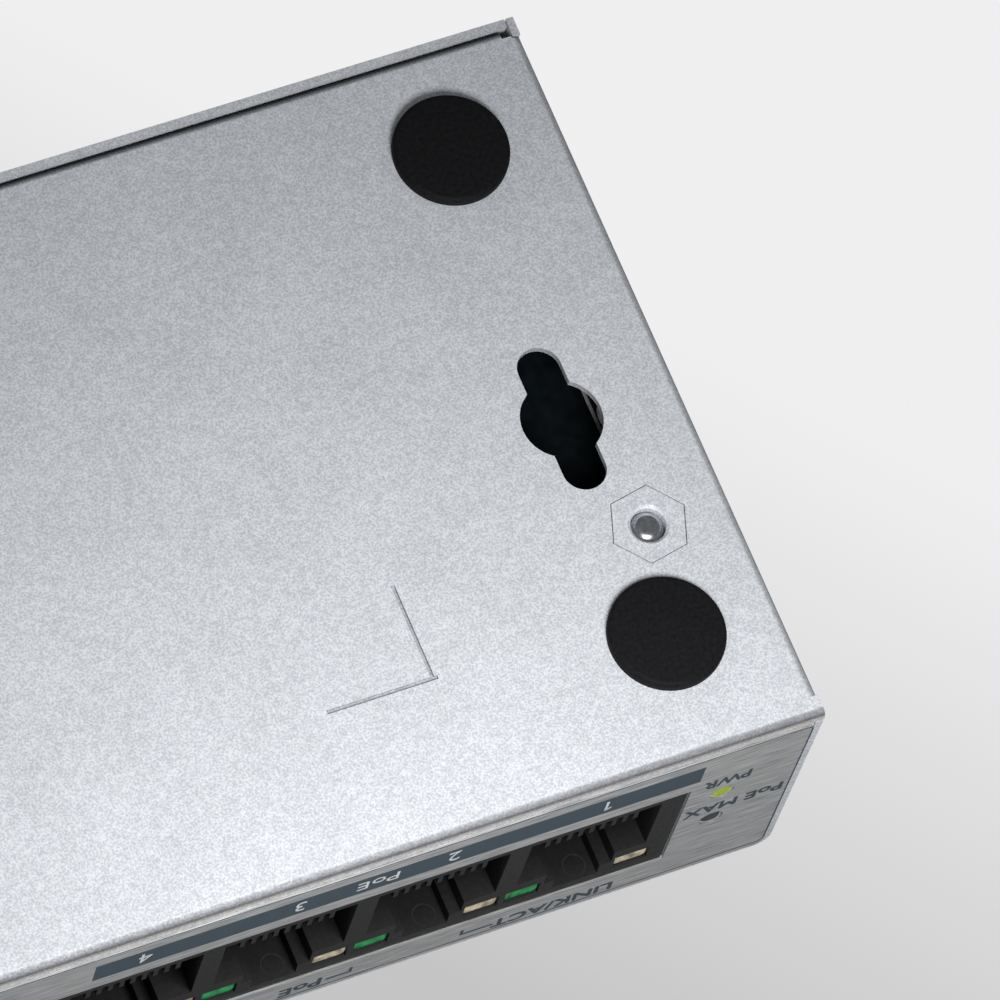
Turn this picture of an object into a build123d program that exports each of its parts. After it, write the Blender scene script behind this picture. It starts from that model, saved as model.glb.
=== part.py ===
from build123d import *
import os

# A small desktop network switch with five ports that feeds power to its cables.
# Millimetres. +Z is up, the ports face -Y, and +X is to the right as seen from the front.
# The origin is the middle of the rectangle that the switch stands on.

# Case
body_width = 100.0
body_depth = 69.0
body_height = 27.5
sheet = 0.7
cover_sheet = 0.7
film = 0.2
film_rise = 1.4
bend_inside = 0.15
fold_root = 1.0
cover_bend = 1.6
sheet_gap = 0.15

# Folds of the tray
front_lip = 4.0
flange_height = 9.0
skirt_height = 1.25
corner_relief = 1.0
rear_flange = 5.0
rear_relief = 1.7
rear_corner_relief = 0.2

# Rubber feet
foot_diameter = 10.2
foot_height = 1.0
foot_edge = 0.3
foot_inset_x = 10.15
foot_inset_front = 11.2
foot_inset_rear = 10.3

# Double keyholes in the underside
keyhole_inset = 10.75
keyhole_from_front = 32.5
keyhole_head = 7.2
keyhole_slot = 3.9
keyhole_length = 13.7

# Stamped corner mark
mark_inset = 30.4
mark_from_front = 13.9
mark_leg_depthways = 8.9
mark_leg_sideways = 10.1
mark_overrun = 0.45
mark_width = 0.35
mark_depth = 0.3

# Circuit board, its standoffs and screws
board_thickness = 1.6
board_inset_x = 3.6
board_inset_front = 1.4
board_inset_rear = 2.6
board_waist = 2.1
board_corner = 1.0
standoff_height = 5.7
standoff_diameter = 5.0
standoff_hex = 6.2
standoff_head = 0.45
standoff_mouth = 0.25
standoff_turn = 49.0
press_gap = 0.03
hex_gap = 0.08
side_standoff_inset = 7.5
side_standoff_from_front = 21.1
rear_standoff_x = 10.0
rear_standoff_from_rear = 12.0
screw_diameter = 3.0
screw_hole = 3.2
screw_clearance = 0.05
screw_head_diameter = 5.4
screw_head_height = 1.8
screw_tip_setback = 0.25
screw_tip_round = 0.9
screw_recess = 2.6
screw_slot = 0.6
screw_recess_depth = 1.1

# Block of jacks
port_count = 5
port_pitch = 13.97
first_port_inset = 19.5
block_end = 1.3
block_height = 14.3
block_depth = 16.0
block_gap = 0.15
block_setback = 0.15
block_peg_diameter = 3.0
block_peg_length = 1.4
block_peg_gap = 0.1
block_peg_back = 5.5
jack_floor = 1.0
jack_width = 12.0
latch_step_rise = 2.0
latch_step_width = 6.3
latch_rise = 1.6
latch_width = 4.2
latch_roof = 1.3
jack_depth = 12.5
latch_depth = 9.0
lamp_offset = 5.08
lamp_drop = 2.4
lamp_width = 3.1
lamp_height = 2.0
lamp_setback = 0.25
lamp_length = 10.0
lamp_gap = 0.05
lamp_corner = 0.5

# Comb insert and spring wires of a jack
carrier_gap = 0.05
carrier_plate = 0.8
comb_width = 8.6
comb_rise = 1.6
comb_setback = 0.4
comb_depth = 2.4
comb_flat = 1.4
wire_count = 8
wire_pitch = 1.02
wire_width = 0.4
wire_thickness = 0.3
wire_slot = 0.56
wire_rise = 0.9
wire_toe = 1.0
carrier_back = 1.2

# Status lamps
status_lamp_inset = 7.7
power_lamp_height = 10.6
max_lamp_height = 16.1
status_lamp_diameter = 2.0
status_lamp_hole_gap = 0.1
status_lamp_edge = 0.2
status_holder_width = 4.4
status_holder_front = 1.4
status_holder_depth = 5.0
status_holder_over = 1.6
status_holder_bevel = 0.4

# Power inlet
inlet_inset = 20.0
inlet_width = 9.0
inlet_height = 11.0
inlet_depth = 12.0
inlet_nose_diameter = 8.0
inlet_nose_gap = 0.2
inlet_setback = 0.3
inlet_axis_rise = 6.0
inlet_bore = 5.7
inlet_bore_depth = 9.5
inlet_pin_diameter = 2.1
inlet_pin_setback = 1.0
inlet_pin_tip = 0.5
inlet_bevel = 0.6
inlet_spring_length = 7.6
inlet_spring_width = 1.6
inlet_spring_thickness = 0.3

# Side vents and cover screws
vent_count = 10
vent_pitch = 4.2
vent_width = 1.8
vent_height = 9.0
vent_centre_height = 16.2
vent_from_front = 37.0
cover_screw_from_front = 34.0
cover_screw_height = 5.2
cover_screw_length = 3.0
cover_screw_head = 4.6
cover_screw_cone = 0.75
cover_screw_gap = 0.05
cover_screw_recess = 0.6
countersink = 45.0

# Parts on the board. Insets count from the left side, unless the name says right.
switch_chip_size = 10.0
switch_chip_height = 1.4
switch_chip_lead_count = 8
switch_chip_part_way = 0.47
poe_chip_width = 18.0
poe_chip_depth = 7.5
poe_chip_height = 2.4
poe_chip_lead_count = 10
poe_chip_inset = 20.5
lead_pitch = 1.0
lead_width = 0.4
lead_length = 1.2
lead_thickness = 0.2
chip_standoff = 0.1
chip_bevel_part = 8
transformer_width = 12.7
transformer_depth = 8.0
transformer_height = 5.8
transformer_lead_count = 6
transformer_pitch = 1.9
transformer_insets = (27.0, 45.0, 63.0)
transformer_from_front = 30.0
capacitor_diameter = 10.0
capacitor_height = 14.0
capacitor_groove = 0.35
capacitor_score = 7.0
capacitor_score_width = 0.3
capacitor_score_depth = 0.2
capacitor_insets_right = (35.5, 24.0)
inductor_size = 12.0
inductor_height = 6.0
inductor_core = 10.0
inductor_corner = 2.0
inductor_groove = 0.5
inductor_inset_right = 14.0
inductor_from_front = 33.0
crystal_length = 11.0
crystal_width = 4.6
crystal_height = 3.6
crystal_foot = 0.5
crystal_rim = 0.4
fuse_length = 6.0
fuse_width = 2.6
fuse_height = 2.2
fuse_inset_right = 8.5
fuse_gap = 2.85
diode_length = 7.0
diode_width = 5.8
diode_height = 2.3
protector_bevel = 0.3
diode_inset = 28.0
rear_row_from_rear = 9.5

# Shared planes and places, worked out from the sizes above
side_x = body_width / 2
film_y = -body_depth / 2
front_y = film_y + film
rear_y = body_depth / 2
base_z = foot_height
top_z = base_z + body_height
floor_z = base_z + sheet
bend_out = bend_inside + sheet
plate_front = front_y + bend_out
tray_rear = rear_y - cover_sheet - sheet_gap
plate_rear = tray_rear - bend_out
wall_top = top_z - cover_sheet - sheet_gap
jog = cover_sheet + sheet_gap
wall_half = side_x - jog
wall_corner = cover_bend - jog
side_front = front_y + bend_out + corner_relief
side_rear = plate_rear - rear_corner_relief
board_under = floor_z + standoff_height
board_top = board_under + board_thickness
board_front = front_y + board_inset_front
board_rear = rear_y - board_inset_rear
board_half = side_x - board_inset_x
block_front = film_y + block_setback
block_left = -side_x + first_port_inset - port_pitch / 2 - block_end
block_width = port_count * port_pitch + 2 * block_end
block_x = block_left + block_width / 2
block_mid_z = board_top + block_height / 2
latch_top = block_height - latch_roof
latch_step_top = latch_top - latch_rise
jack_top = latch_step_top - latch_step_rise
lamp_rise = block_height - lamp_drop
port_x = [-side_x + first_port_inset + port_pitch * i for i in range(port_count)]
status_x = -side_x + status_lamp_inset
power_lamp_z = base_z + power_lamp_height
max_lamp_z = base_z + max_lamp_height
inlet_x = side_x - inlet_inset
inlet_z = board_top + inlet_axis_rise
inlet_back = tray_rear - sheet - sheet_gap
cover_screw_z = base_z + cover_screw_height
cover_screw_y = film_y + cover_screw_from_front
keyhole_y = film_y + keyhole_from_front
peg_places = [(port_x[0], block_front + block_peg_back), (port_x[-1], block_front + block_peg_back)]
standoff_places = [
    (-side_x + side_standoff_inset, film_y + side_standoff_from_front),
    (side_x - side_standoff_inset, film_y + side_standoff_from_front),
    (rear_standoff_x, rear_y - rear_standoff_from_rear),
]
transformer_y = film_y + transformer_from_front
transformer_rear = transformer_y + transformer_depth / 2 + lead_length + lead_thickness
rear_row_y = rear_y - rear_row_from_rear
rear_row_front = rear_row_y - crystal_width / 2
inlet_front = inlet_back - inlet_depth
middle_row_y = (transformer_rear + min(inlet_front, rear_row_front)) / 2
switch_chip_x = -side_x + switch_chip_part_way * body_width
inductor_y = film_y + inductor_from_front
fuse_y = inductor_y + (inductor_size + fuse_length) / 2 + fuse_gap
foot_places = {
    "front_left": (-side_x + foot_inset_x, film_y + foot_inset_front),
    "front_right": (side_x - foot_inset_x, film_y + foot_inset_front),
    "rear_left": (-side_x + foot_inset_x, rear_y - foot_inset_rear),
    "rear_right": (side_x - foot_inset_x, rear_y - foot_inset_rear),
}

os.makedirs("parts", exist_ok=True)


def save(piece, node):
    piece.part.label = node
    export_step(piece.part, f"parts/{node}.step")


def facing_front(y):
    # Plane across the depth at y that looks at the front, with local x and y as X and Z
    return Plane.XZ.offset(-y)


def screw_plane(sign):
    # Plane on the cover's side at its screw, facing outwards: sign is -1 on the left, 1 on the right
    place = (sign * side_x, cover_screw_y, cover_screw_z)
    return Plane(origin=place, x_dir=(0, 1, 0), z_dir=(sign, 0, 0))


def leaded_chip(width, depth, height, leads, pitch, sides, x, y):
    # Moulded chip whose gull-wing leads stand on the board, on two or on all four sides
    body_z = board_top + chip_standoff
    with BuildPart() as chip:
        with BuildSketch(Plane.XY.offset(body_z)):
            with Locations((x, y)):
                Rectangle(width, depth)
        extrude(amount=height)
        chamfer(chip.edges().group_by(Axis.Z)[-1], length=height / chip_bevel_part)
        reach = lead_length + lead_thickness
        for turn, span in ((0, depth), (90, width))[: sides // 2]:
            wide, long = (lead_width, span + 2 * reach) if turn == 0 else (span + 2 * reach, lead_width)
            grid = (pitch, 1, leads, 1) if turn == 0 else (1, pitch, 1, leads)
            with BuildSketch(Plane.XY.offset(board_top)):
                with Locations((x, y)):
                    with GridLocations(*grid):
                        Rectangle(wide, long)
                    with GridLocations(*grid):
                        inner = (wide, span - 2 * reach) if turn == 0 else (span - 2 * reach, long)
                        Rectangle(*inner, mode=Mode.SUBTRACT)
            extrude(amount=chip_standoff + lead_thickness)
    return chip


# Tray: underside, front wall with its lip, side flanges set in behind the cover, rear flange
with BuildPart() as base_tray:
    with BuildSketch(Plane.XY.offset(base_z)):
        with Locations((0, (plate_front + plate_rear) / 2)):
            Rectangle(2 * (side_x - bend_out), plate_rear - plate_front)
    extrude(amount=sheet)
    with BuildSketch(Plane.YZ.offset(-side_x)):
        with BuildLine():
            FilletPolyline(
                (plate_front + fold_root, base_z),
                (front_y, base_z),
                (front_y, wall_top),
                (front_y + front_lip, wall_top),
                radius=bend_out,
            )
            offset(amount=sheet, side=Side.RIGHT)
        make_face()
    extrude(amount=body_width)
    with BuildSketch(Plane.YZ.offset(-side_x + rear_relief)):
        with BuildLine():
            FilletPolyline(
                (plate_rear - fold_root, base_z),
                (tray_rear, base_z),
                (tray_rear, base_z + rear_flange),
                radius=bend_out,
            )
            offset(amount=sheet, side=Side.LEFT)
        make_face()
    extrude(amount=body_width - 2 * rear_relief)
    # the front wall is narrower than its bottom strip, so that it stands between the cover's sides
    with BuildSketch(Plane.XY.offset(base_z + skirt_height)):
        with Locations((-side_x + jog / 2, front_y), (side_x - jog / 2, front_y)):
            Rectangle(jog, 2 * (front_lip + sheet))
    extrude(amount=body_height, mode=Mode.SUBTRACT)
    with BuildSketch(facing_front(front_y - sheet)):
        for sign, align in ((-1, Align.MAX), (1, Align.MIN)):
            with Locations((sign * (wall_half - wall_corner), wall_top - wall_corner)):
                Rectangle(2 * wall_corner, 2 * wall_corner, align=(align, Align.MIN))
                Circle(wall_corner, mode=Mode.SUBTRACT)
    extrude(amount=-(front_lip + 2 * sheet), mode=Mode.SUBTRACT)
    for sign, inward in ((-1, Side.RIGHT), (1, Side.LEFT)):
        with BuildSketch(facing_front(side_rear)):
            with BuildLine():
                FilletPolyline(
                    (sign * (side_x - bend_out - fold_root), base_z),
                    (sign * side_x, base_z),
                    (sign * side_x, base_z + skirt_height),
                    (sign * (side_x - jog), base_z + skirt_height + jog),
                    (sign * (side_x - jog), base_z + flange_height),
                    radius=[bend_out, bend_out, bend_inside],
                )
                offset(amount=sheet, side=inward)
            make_face()
        extrude(amount=side_rear - side_front)
    with BuildSketch(facing_front(front_y)):
        with Locations((block_x, block_mid_z)):
            Rectangle(block_width + 2 * block_gap, block_height + 2 * block_gap)
        with Locations((status_x, power_lamp_z), (status_x, max_lamp_z)):
            Circle(status_lamp_diameter / 2 + status_lamp_hole_gap)
    extrude(amount=2 * sheet, both=True, mode=Mode.SUBTRACT)
    with BuildSketch(Plane.XY.offset(base_z)):
        with Locations((-side_x + keyhole_inset, keyhole_y), (side_x - keyhole_inset, keyhole_y)):
            Circle(keyhole_head / 2)
            SlotOverall(keyhole_length, keyhole_slot, rotation=90)
        with Locations(*standoff_places):
            Circle(standoff_diameter / 2 + press_gap)
    extrude(amount=sheet, mode=Mode.SUBTRACT)
    with BuildSketch(Plane.XY.offset(base_z)):
        with Locations(*standoff_places):
            RegularPolygon(
                standoff_hex / 2 + hex_gap, 6, major_radius=False, rotation=standoff_turn
            )
    extrude(amount=standoff_head + press_gap, mode=Mode.SUBTRACT)
    with BuildSketch(Plane.XY.offset(base_z)):
        with Locations((-side_x + mark_inset, film_y + mark_from_front)):
            Rectangle(mark_width, mark_leg_depthways, align=(Align.CENTER, Align.MIN))
        with Locations((-side_x + mark_inset - mark_overrun, film_y + mark_from_front)):
            Rectangle(mark_leg_sideways, mark_width, align=(Align.MIN, Align.CENTER))
    extrude(amount=mark_depth, mode=Mode.SUBTRACT)
    with BuildSketch(Plane.YZ.offset(-side_x)):
        with Locations((cover_screw_y, cover_screw_z)):
            Circle(screw_diameter / 2)
    extrude(amount=body_width, mode=Mode.SUBTRACT)
save(base_tray, "base_tray")

# Cover: a folded shell, open below and at the front, with corner tongues and rear seams
tongue_edge = base_z + skirt_height + sheet_gap
cover_edge = tongue_edge + jog
front_tongue = side_front - sheet_gap
rear_tongue = side_rear + sheet_gap
with BuildPart() as top_cover:
    with BuildSketch(Plane.XY.offset(base_z)):
        with Locations((0, front_y)):
            Rectangle(body_width, rear_y - front_y, align=(Align.CENTER, Align.MIN))
    extrude(amount=body_height)
    roof = top_cover.faces().sort_by(Axis.Z)[-1]
    fillet(roof.edges().sort_by(Axis.Y)[1:], radius=cover_bend)
    below = top_cover.faces().sort_by(Axis.Z)[0]
    front = top_cover.faces().sort_by(Axis.Y)[0]
    offset(amount=-cover_sheet, openings=[below, front])
    with BuildSketch(Plane.YZ):
        with BuildLine():
            Polyline(
                (front_y, base_z),
                (rear_tongue, base_z),
                (rear_tongue, cover_edge),
                (front_tongue, cover_edge),
                (front_tongue, tongue_edge),
                (front_y, tongue_edge),
                close=True,
            )
        make_face()
    extrude(amount=side_x, both=True, mode=Mode.SUBTRACT)
    with BuildSketch(facing_front(rear_y)):
        seam_x = side_x - cover_sheet - sheet_gap / 2
        with Locations((-seam_x, base_z), (seam_x, base_z)):
            Rectangle(sheet_gap, body_height - cover_bend, align=(Align.CENTER, Align.MIN))
    extrude(amount=2 * cover_sheet, mode=Mode.SUBTRACT)
    with BuildSketch(Plane.YZ):
        with Locations((film_y + vent_from_front, base_z + vent_centre_height)):
            with GridLocations(vent_pitch, 1, vent_count, 1):
                SlotOverall(vent_height, vent_width, rotation=90)
    extrude(amount=side_x, both=True, mode=Mode.SUBTRACT)
    for sign in (-1, 1):
        with Locations(screw_plane(sign)):
            CounterSinkHole(
                radius=screw_hole / 2,
                counter_sink_radius=cover_screw_head / 2 + cover_screw_gap,
                depth=cover_screw_length,
            )
    with BuildSketch(facing_front(rear_y)):
        with Locations((inlet_x, inlet_z)):
            Circle(inlet_nose_diameter / 2 + inlet_nose_gap)
    extrude(amount=cover_sheet, mode=Mode.SUBTRACT)
save(top_cover, "top_cover")

# Printed film on the front wall
film_bottom = base_z + film_rise
with BuildPart() as front_film:
    with BuildSketch(facing_front(front_y)):
        with Locations((0, (film_bottom + wall_top) / 2)):
            RectangleRounded(2 * wall_half, wall_top - film_bottom, radius=wall_corner)
        with Locations((block_x, block_mid_z)):
            Rectangle(
                block_width + 2 * block_gap, block_height + 2 * block_gap, mode=Mode.SUBTRACT
            )
        with Locations((status_x, power_lamp_z), (status_x, max_lamp_z)):
            Circle(status_lamp_diameter / 2 + status_lamp_hole_gap, mode=Mode.SUBTRACT)
    extrude(amount=film)
save(front_film, "front_film")

# Rubber feet, bevelled at the floor
for place, (foot_x, foot_y) in foot_places.items():
    with BuildPart() as rubber_foot:
        with BuildSketch():
            with Locations((foot_x, foot_y)):
                Circle(foot_diameter / 2)
        extrude(amount=foot_height)
        chamfer(rubber_foot.edges().group_by(Axis.Z)[0], length=foot_edge)
    save(rubber_foot, f"rubber_foot_{place}")

# Circuit board, with a waist at each keyhole, screw holes and peg holes
with BuildPart() as circuit_board:
    with BuildSketch(Plane.XY.offset(board_under)):
        with Locations((0, (board_front + board_rear) / 2)):
            RectangleRounded(2 * board_half, board_rear - board_front, radius=board_corner)
        with Locations((-board_half, keyhole_y), (board_half, keyhole_y)):
            Rectangle(2 * board_waist, keyhole_length, mode=Mode.SUBTRACT)
        with Locations(*standoff_places):
            Circle(screw_hole / 2, mode=Mode.SUBTRACT)
        with Locations(*peg_places):
            Circle(block_peg_diameter / 2 + block_peg_gap, mode=Mode.SUBTRACT)
    extrude(amount=board_thickness)
save(circuit_board, "circuit_board")

# Standoffs: a hexagonal head pressed flush into the underside, and a threaded barrel
with BuildPart() as board_standoffs:
    with BuildSketch(Plane.XY.offset(base_z)):
        with Locations(*standoff_places):
            RegularPolygon(standoff_hex / 2, 6, major_radius=False, rotation=standoff_turn)
    extrude(amount=standoff_head)
    with BuildSketch(Plane.XY.offset(base_z)):
        with Locations(*standoff_places):
            Circle(standoff_diameter / 2)
    extrude(amount=board_under - base_z)
    bore = screw_diameter / 2 + screw_clearance
    with BuildSketch(Plane.XY.offset(base_z)):
        with Locations(*standoff_places):
            Circle(bore)
    extrude(amount=board_under - base_z, mode=Mode.SUBTRACT)
    mouths = board_standoffs.edges().filter_by(GeomType.CIRCLE).filter_by(
        lambda e: abs(e.radius - bore) < screw_clearance / 2
    )
    chamfer(mouths.group_by(Axis.Z)[0], length=standoff_mouth)
save(board_standoffs, "board_standoffs")

# Board screws: pan heads on the board, and rounded tips just inside the underside
screw_tip_z = base_z + screw_tip_setback
with BuildPart() as board_screws:
    with BuildSketch(Plane.XY.offset(board_top)):
        with Locations(*standoff_places):
            Circle(screw_head_diameter / 2)
    extrude(amount=screw_head_height)
    chamfer(board_screws.edges().group_by(Axis.Z)[-1], length=screw_head_height / 3)
    with BuildSketch(Plane.XY.offset(screw_tip_z)):
        with Locations(*standoff_places):
            Circle(screw_diameter / 2)
    extrude(amount=board_top - screw_tip_z)
    fillet(board_screws.edges().group_by(Axis.Z)[0], radius=screw_tip_round)
    with BuildSketch(Plane.XY.offset(board_top + screw_head_height)):
        with Locations(*standoff_places):
            Rectangle(screw_recess, screw_slot)
            Rectangle(screw_slot, screw_recess)
    extrude(amount=-screw_recess_depth, mode=Mode.SUBTRACT)
save(board_screws, "board_screws")

# Cover screws: one flush countersunk screw through each side into the tray's flange
with BuildPart() as cover_screws:
    for sign in (-1, 1):
        with BuildSketch(screw_plane(sign)):
            Circle(cover_screw_head / 2)
        extrude(amount=-cover_screw_cone, taper=countersink)
        with BuildSketch(screw_plane(sign)):
            Circle(screw_diameter / 2 - screw_clearance)
        extrude(amount=-cover_screw_length)
        with BuildSketch(screw_plane(sign)):
            Rectangle(screw_recess, screw_slot)
            Rectangle(screw_slot, screw_recess)
        extrude(amount=-cover_screw_recess, mode=Mode.SUBTRACT)
save(cover_screws, "cover_screws")

# Block of jacks: five keyed cavities, lamp channels in the upper corners, two pegs
with BuildPart() as port_housing:
    with BuildSketch(facing_front(block_front)):
        with Locations((block_x, board_top)):
            Rectangle(block_width, block_height, align=(Align.CENTER, Align.MIN))
    extrude(amount=-block_depth)
    with BuildSketch(facing_front(block_front)):
        with Locations(*[(x, board_top) for x in port_x]):
            with Locations((0, jack_floor)):
                Rectangle(jack_width, jack_top - jack_floor, align=(Align.CENTER, Align.MIN))
            with Locations((0, jack_top)):
                Rectangle(
                    latch_step_width, latch_step_top - jack_top, align=(Align.CENTER, Align.MIN)
                )
    extrude(amount=-jack_depth, mode=Mode.SUBTRACT)
    with BuildSketch(facing_front(block_front)):
        with Locations(*[(x, board_top + latch_step_top) for x in port_x]):
            Rectangle(latch_width, latch_top - latch_step_top, align=(Align.CENTER, Align.MIN))
    extrude(amount=-latch_depth, mode=Mode.SUBTRACT)
    with BuildSketch(facing_front(block_front)):
        with Locations(*[(x, board_top + lamp_rise) for x in port_x]):
            with GridLocations(2 * lamp_offset, 1, 2, 1):
                Rectangle(lamp_width + 2 * lamp_gap, lamp_height + 2 * lamp_gap)
    extrude(amount=-(lamp_setback + lamp_length), mode=Mode.SUBTRACT)
    with BuildSketch(Plane.XY.offset(board_top)):
        with Locations(*peg_places):
            Circle(block_peg_diameter / 2)
    extrude(amount=-block_peg_length)
save(port_housing, "port_housing")

# Lamps in the block's upper corners
for index, x in enumerate(port_x, start=1):
    for node, side in (("link_light", -1), ("poe_light", 1)):
        with BuildPart() as lamp:
            with BuildSketch(facing_front(block_front + lamp_setback)):
                with Locations((x + side * lamp_offset, board_top + lamp_rise)):
                    RectangleRounded(lamp_width, lamp_height, radius=lamp_corner)
            extrude(amount=-(lamp_length - lamp_gap))
        save(lamp, f"{node}_{index}")

# Comb insert on the floor of each jack, with a slot for each wire
comb_front = block_front + comb_setback
carrier_bottom = board_top + jack_floor + carrier_gap
carrier_top = carrier_bottom + carrier_plate
comb_top = carrier_top + comb_rise
carrier_rear = block_front + jack_depth - carrier_gap
for index, x in enumerate(port_x, start=1):
    with BuildPart() as contact_carrier:
        with BuildSketch(Plane.YZ.offset(x - jack_width / 2 + carrier_gap)):
            with BuildLine():
                Polyline(
                    (comb_front, carrier_bottom),
                    (carrier_rear, carrier_bottom),
                    (carrier_rear, comb_top + wire_rise + wire_thickness),
                    (carrier_rear - carrier_back, comb_top + wire_rise + wire_thickness),
                    (carrier_rear - carrier_back, carrier_top),
                    (comb_front, carrier_top),
                    close=True,
                )
            make_face()
        extrude(amount=jack_width - 2 * carrier_gap)
        with BuildSketch(Plane.YZ.offset(x - comb_width / 2)):
            with BuildLine():
                Polyline(
                    (comb_front, carrier_top),
                    (comb_front, comb_top),
                    (comb_front + comb_flat, comb_top),
                    (comb_front + comb_depth, carrier_top),
                    close=True,
                )
            make_face()
        extrude(amount=comb_width)
        with BuildSketch(facing_front(comb_front)):
            with Locations((x, carrier_top)):
                with GridLocations(wire_pitch, 1, wire_count, 1):
                    Rectangle(wire_slot, comb_rise, align=(Align.CENTER, Align.MIN))
        extrude(amount=-comb_depth, mode=Mode.SUBTRACT)
    save(contact_carrier, f"contact_carrier_{index}")

# Eight spring wires in each jack, low in the comb and rising towards the back
wire_front_y = comb_front + wire_thickness
wire_back_y = carrier_rear - carrier_back
wire_low_z = carrier_top + wire_thickness
wire_high_z = comb_top + wire_rise
for index, x in enumerate(port_x, start=1):
    with BuildPart() as port_contacts:
        first = x - (wire_count - 1) * wire_pitch / 2 - wire_width / 2
        for number in range(wire_count):
            with BuildSketch(Plane.YZ.offset(first + number * wire_pitch)):
                with BuildLine():
                    Polyline(
                        (wire_front_y, carrier_top),
                        (wire_front_y + wire_toe, wire_low_z),
                        (wire_front_y + comb_depth, wire_low_z + wire_thickness),
                        (wire_back_y, wire_high_z),
                    )
                    offset(amount=wire_thickness, side=Side.LEFT)
                make_face()
            extrude(amount=wire_width)
    save(port_contacts, f"port_contacts_{index}")

# Holder of the two round lamps, standing on the board behind the front wall
holder_front = front_y + sheet + status_holder_front
holder_top = max_lamp_z + status_lamp_diameter / 2 + status_holder_over
with BuildPart() as status_lamp_holder:
    with BuildSketch(Plane.XY.offset(board_top)):
        with Locations((status_x, holder_front)):
            Rectangle(status_holder_width, status_holder_depth, align=(Align.CENTER, Align.MIN))
    extrude(amount=holder_top - board_top)
    chamfer(status_lamp_holder.edges().group_by(Axis.Z)[-1], length=status_holder_bevel)
save(status_lamp_holder, "status_lamp_holder")

lamp_front_y = film_y + film / 2
for node, z in (("power_lamp", power_lamp_z), ("poe_max_lamp", max_lamp_z)):
    with BuildPart() as status_lamp:
        with BuildSketch(facing_front(holder_front)):
            with Locations((status_x, z)):
                Circle(status_lamp_diameter / 2)
        extrude(amount=holder_front - lamp_front_y)
        chamfer(status_lamp.edges().group_by(Axis.Y)[0], length=status_lamp_edge)
    save(status_lamp, node)

# Power inlet at the rear edge of the board, its round nose in the cover's hole
nose_face = rear_y - inlet_setback
with BuildPart() as dc_inlet_housing:
    with BuildSketch(Plane.XY.offset(board_top)):
        with Locations((inlet_x, inlet_back)):
            Rectangle(inlet_width, inlet_depth, align=(Align.CENTER, Align.MAX))
    extrude(amount=inlet_height)
    chamfer(dc_inlet_housing.edges().group_by(Axis.Z)[-1], length=inlet_bevel)
    with BuildSketch(facing_front(inlet_back)):
        with Locations((inlet_x, inlet_z)):
            Circle(inlet_nose_diameter / 2)
    extrude(amount=-(nose_face - inlet_back))
    with BuildSketch(facing_front(nose_face)):
        with Locations((inlet_x, inlet_z)):
            Circle(inlet_bore / 2)
    extrude(amount=inlet_bore_depth, mode=Mode.SUBTRACT)
save(dc_inlet_housing, "dc_inlet_housing")

bore_floor = nose_face - inlet_bore_depth
with BuildPart() as dc_inlet_pin:
    with BuildSketch(facing_front(bore_floor)):
        with Locations((inlet_x, inlet_z)):
            Circle(inlet_pin_diameter / 2)
    extrude(amount=-(inlet_bore_depth - inlet_pin_setback))
    chamfer(dc_inlet_pin.edges().group_by(Axis.Y)[-1], length=inlet_pin_tip)
save(dc_inlet_pin, "dc_inlet_pin")

# Leaf spring on the floor of the bore that touches the plug's sleeve
with BuildPart() as dc_inlet_spring:
    spring_z = inlet_z - inlet_bore / 2 + inlet_spring_thickness
    with BuildSketch(facing_front(bore_floor)):
        with Locations((inlet_x, spring_z)):
            Rectangle(inlet_spring_width, inlet_spring_thickness)
    extrude(amount=-inlet_spring_length)
save(dc_inlet_spring, "dc_inlet_spring")

# Chips and transformers
switch_chip = leaded_chip(
    switch_chip_size,
    switch_chip_size,
    switch_chip_height,
    switch_chip_lead_count,
    lead_pitch,
    4,
    switch_chip_x,
    middle_row_y,
)
save(switch_chip, "switch_chip")
poe_controller = leaded_chip(
    poe_chip_width,
    poe_chip_depth,
    poe_chip_height,
    poe_chip_lead_count,
    lead_pitch,
    2,
    -side_x + poe_chip_inset,
    middle_row_y,
)
save(poe_controller, "poe_controller")
for index, inset in enumerate(transformer_insets, start=1):
    line_transformer = leaded_chip(
        transformer_width,
        transformer_depth,
        transformer_height,
        transformer_lead_count,
        transformer_pitch,
        2,
        -side_x + inset,
        transformer_y,
    )
    save(line_transformer, f"line_transformer_{index}")

# Supply capacitors: cans with a rolled groove near the foot and a scored top
for index, inset in enumerate(capacitor_insets_right, start=1):
    with BuildPart() as storage_capacitor:
        radius = capacitor_diameter / 2
        with BuildSketch(Plane.XZ):
            with BuildLine():
                Polyline(
                    (0, 0),
                    (radius, 0),
                    (radius, 3 * capacitor_groove),
                    (radius - capacitor_groove, 4 * capacitor_groove),
                    (radius, 5 * capacitor_groove),
                    (radius, capacitor_height - capacitor_groove),
                    (radius - capacitor_groove, capacitor_height),
                    (0, capacitor_height),
                    close=True,
                )
            make_face()
        revolve(axis=Axis.Z)
        with BuildSketch(Plane.XY.offset(capacitor_height)):
            Rectangle(capacitor_score, capacitor_score_width)
            Rectangle(capacitor_score_width, capacitor_score)
        extrude(amount=-capacitor_score_depth, mode=Mode.SUBTRACT)
    place = Pos(side_x - inset, middle_row_y, board_top)
    storage_capacitor.part = place * storage_capacitor.part
    save(storage_capacitor, f"storage_capacitor_{index}")

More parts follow.
